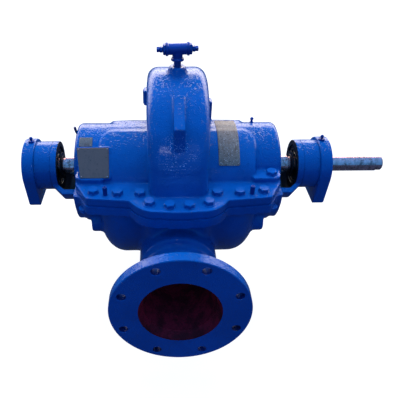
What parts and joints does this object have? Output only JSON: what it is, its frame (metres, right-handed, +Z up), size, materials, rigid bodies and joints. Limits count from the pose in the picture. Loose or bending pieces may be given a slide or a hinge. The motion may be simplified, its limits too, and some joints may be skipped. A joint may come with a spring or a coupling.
{
  "type": "centrifugal pump",
  "caption": "Horizontal split-case double suction centrifugal pump with flanged nozzles, outboard bearings and a bare shaft that turns.",
  "frame": {"origin": "centre line of the foot's underside, straight below the shaft's axis and the pump's middle plane", "axes": "+X along the shaft towards the drive end, -Y towards the discharge flange, +Z up"},
  "size_m": [0.9863, 0.72, 0.755],
  "materials": {
    "blue_enamel": "glossy blue enamel over rough cast iron, with runs and orange peel",
    "fitting_enamel": "blue enamel on threaded fittings",
    "cover_enamel": "dark greasy iron",
    "plate_metal": "dull scuffed sheet steel",
    "bright_steel": "ground steel with handling marks"
  },
  "bodies": {
    "casing": {"lower_casing": "blue_enamel", "upper_casing": "blue_enamel", "split_pin_front_left": "fitting_enamel", "split_pin_front_right": "fitting_enamel", "split_pin_rear_left": "fitting_enamel", "split_pin_rear_right": "fitting_enamel", "bearing_bracket_left": "blue_enamel", "bearing_bracket_right": "blue_enamel", "bearing_block_left": "blue_enamel", "bearing_block_right": "blue_enamel", "grease_nipple_left": "fitting_enamel", "grease_nipple_right": "fitting_enamel", "gland_follower_left": "cover_enamel", "gland_follower_right": "cover_enamel", "inner_cover_left": "cover_enamel", "inner_cover_right": "cover_enamel", "end_cover_left": "blue_enamel", "end_cover_right": "blue_enamel", "vent_nipple": "fitting_enamel", "vent_tee": "fitting_enamel", "vent_bushing_left": "fitting_enamel", "vent_bushing_right": "fitting_enamel", "vent_plug_left": "fitting_enamel", "vent_plug_right": "fitting_enamel", "square_plate": "plate_metal", "curved_plate": "plate_metal", "small_plate": "plate_metal", "lobe_peg": "fitting_enamel", "lobe_plug": "fitting_enamel"},
    "rotor": {"shaft": "bright_steel", "shaft_key": "bright_steel", "shaft_sleeve_left": "bright_steel", "shaft_sleeve_right": "bright_steel", "slinger_ring_left": "cover_enamel", "slinger_ring_right": "cover_enamel"}
  },
  "joints": [
    {"name": "shaft_spin", "type": "hinge", "parent": "casing", "child": "rotor", "pos_m": [0, 0, 0.425], "axis": [1, 0, 0], "continuous": true}
  ]
}
